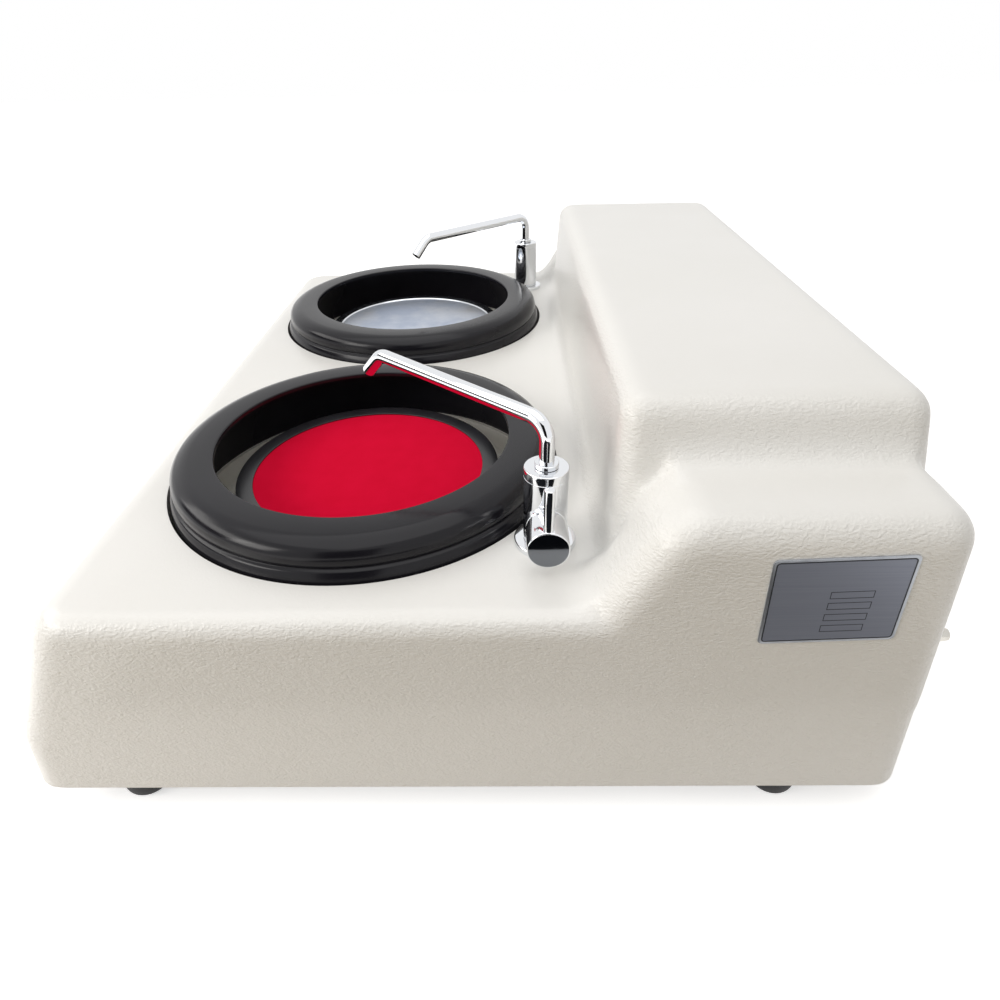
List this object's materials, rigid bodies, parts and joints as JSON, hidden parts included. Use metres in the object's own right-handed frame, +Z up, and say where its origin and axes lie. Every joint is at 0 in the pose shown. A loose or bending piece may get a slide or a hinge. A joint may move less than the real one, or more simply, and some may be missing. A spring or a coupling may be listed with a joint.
{
  "type": "double-disc metallographic polishing machine",
  "caption": "Bench grinding and polishing machine for metal specimens, with turning discs in splash bowls and a swinging water tap over each.",
  "frame": {"origin": "on the bench, under the middle of the whole outline", "axes": "+X to the operator's right, +Y to the rear, +Z up"},
  "size_m": [0.7, 0.6212, 0.278],
  "materials": {
    "gelcoat": "satin",
    "bowl_resin": "satin",
    "ring_plastic": "gloss",
    "hoop_steel": "satin black",
    "cloth": "napped",
    "platter_metal": "machined",
    "tap_chrome": "polished",
    "brass": "turned",
    "steel": "ground",
    "base_paint": "satin",
    "frame_paint": "satin",
    "cast": "painted",
    "motor_paint": "satin",
    "winding": "varnished wire",
    "rubber": "matt",
    "belt_rubber": "matt",
    "panel_metal": "brushed",
    "plate_metal": "printed satin",
    "green_plastic": "gloss",
    "red_plastic": "gloss",
    "pale_plastic": "matt",
    "black_plastic": "matt",
    "clear_hose": "clear grey",
    "drain_plastic": "matt grey"
  },
  "bodies": {
    "machine": {"housing_shell": "gelcoat", "base_plate": "base_paint", "foot_front_left": "rubber", "foot_front_right": "rubber", "foot_rear_left": "rubber", "foot_rear_right": "rubber", "base_fasteners": "steel", "frame_plate": "frame_paint", "frame_posts": "frame_paint", "bowl_left": "bowl_resin", "bowl_right": "bowl_resin", "bearing_housing_left": "cast", "bearing_housing_right": "cast", "bearing_outer_rings": "steel", "bearing_balls": "steel", "motor_housing": "motor_paint", "motor_stator": "winding", "motor_fan_cover": "motor_paint", "motor_terminal_box": "black_plastic", "belt_left": "belt_rubber", "belt_right": "belt_rubber", "tap_flanges": "tap_chrome", "tap_body_left": "tap_chrome", "tap_body_right": "tap_chrome", "tap_nuts": "brass", "water_inlet_left": "steel", "water_inlet_right": "steel", "water_hose_left": "clear_hose", "water_hose_right": "clear_hose", "drain_outlets": "drain_plastic", "drain_hose_left": "drain_plastic", "drain_hose_right": "drain_plastic", "control_panel": "panel_metal", "contact_blocks": "pale_plastic", "nameplate": "plate_metal", "mains_inlet": "black_plastic"},
    "left_disc": {"spindle_left": "steel", "pulley_left": "cast", "bearing_inner_rings_left": "steel"},
    "right_disc": {"spindle_right": "steel", "pulley_right": "cast", "bearing_inner_rings_right": "steel"},
    "left_platter": {"platter_left": "platter_metal"},
    "right_platter": {"platter_right": "platter_metal", "polishing_cloth": "cloth"},
    "hoop": {"cloth_hoop": "hoop_steel"},
    "motor_shaft": {"motor_rotor": "steel", "motor_pulley": "cast", "motor_fan": "black_plastic"},
    "left_ring": {"splash_ring_left": "ring_plastic"},
    "right_ring": {"splash_ring_right": "ring_plastic"},
    "left_spout": {"tap_spout_left": "tap_chrome"},
    "right_spout": {"tap_spout_right": "tap_chrome"},
    "left_valve": {"tap_knob_left": "tap_chrome", "tap_lever_left": "tap_chrome"},
    "right_valve": {"tap_knob_right": "tap_chrome", "tap_lever_right": "tap_chrome"},
    "start": {"start_button": "green_plastic"},
    "stop": {"stop_button": "red_plastic"}
  },
  "joints": [
    {"name": "left_disc_spin", "type": "hinge", "parent": "machine", "child": "left_disc", "pos_m": [-0.165, -0.0866, 0.15], "axis": [0, 0, 1], "continuous": true},
    {"name": "right_disc_spin", "type": "hinge", "parent": "machine", "child": "right_disc", "pos_m": [0.165, -0.0866, 0.15], "axis": [0, 0, 1], "continuous": true},
    {"name": "motor_spin", "type": "hinge", "parent": "machine", "child": "motor_shaft", "pos_m": [0, 0.1644, 0.1], "axis": [0, 0, 1], "continuous": true},
    {"name": "left_platter_lift", "type": "slide", "parent": "left_disc", "child": "left_platter", "axis": [0, 0, 1], "range_m": [0, 0.03]},
    {"name": "right_platter_lift", "type": "slide", "parent": "right_disc", "child": "right_platter", "axis": [0, 0, 1], "range_m": [0, 0.03]},
    {"name": "hoop_lift", "type": "slide", "parent": "right_platter", "child": "hoop", "axis": [0, 0, 1], "range_m": [0, 0.025]},
    {"name": "left_ring_lift", "type": "slide", "parent": "machine", "child": "left_ring", "axis": [0, 0, 1], "range_m": [0, 0.035]},
    {"name": "right_ring_lift", "type": "slide", "parent": "machine", "child": "right_ring", "axis": [0, 0, 1], "range_m": [0, 0.035]},
    {"name": "left_spout_swivel", "type": "hinge", "parent": "machine", "child": "left_spout", "pos_m": [-0.27, 0.04641, 0.225], "axis": [0, 0, 1], "range_deg": [-120, 42]},
    {"name": "right_spout_swivel", "type": "hinge", "parent": "machine", "child": "right_spout", "pos_m": [0.27, 0.04641, 0.225], "axis": [0, 0, 1], "range_deg": [-42, 120]},
    {"name": "left_valve_turn", "type": "hinge", "parent": "machine", "child": "left_valve", "pos_m": [-0.29, 0.04641, 0.198], "axis": [1, 0, 0], "range_deg": [0, 90]},
    {"name": "right_valve_turn", "type": "hinge", "parent": "machine", "child": "right_valve", "pos_m": [0.29, 0.04641, 0.198], "axis": [1, 0, 0], "range_deg": [0, 90]},
    {"name": "start_press", "type": "slide", "parent": "machine", "child": "start", "axis": [0, 0.911, -0.4125], "range_m": [0, 0.004], "stiffness_N_per_m": 300, "springref_m": -0.002},
    {"name": "stop_press", "type": "slide", "parent": "machine", "child": "stop", "axis": [0, 0.911, -0.4125], "range_m": [0, 0.004], "stiffness_N_per_m": 300, "springref_m": -0.002}
  ],
  "couplings": [
    {"joint": "right_disc_spin", "follows": "left_disc_spin", "ratio": 1.3333},
    {"joint": "motor_spin", "follows": "left_disc_spin", "ratio": 3.1034}
  ]
}
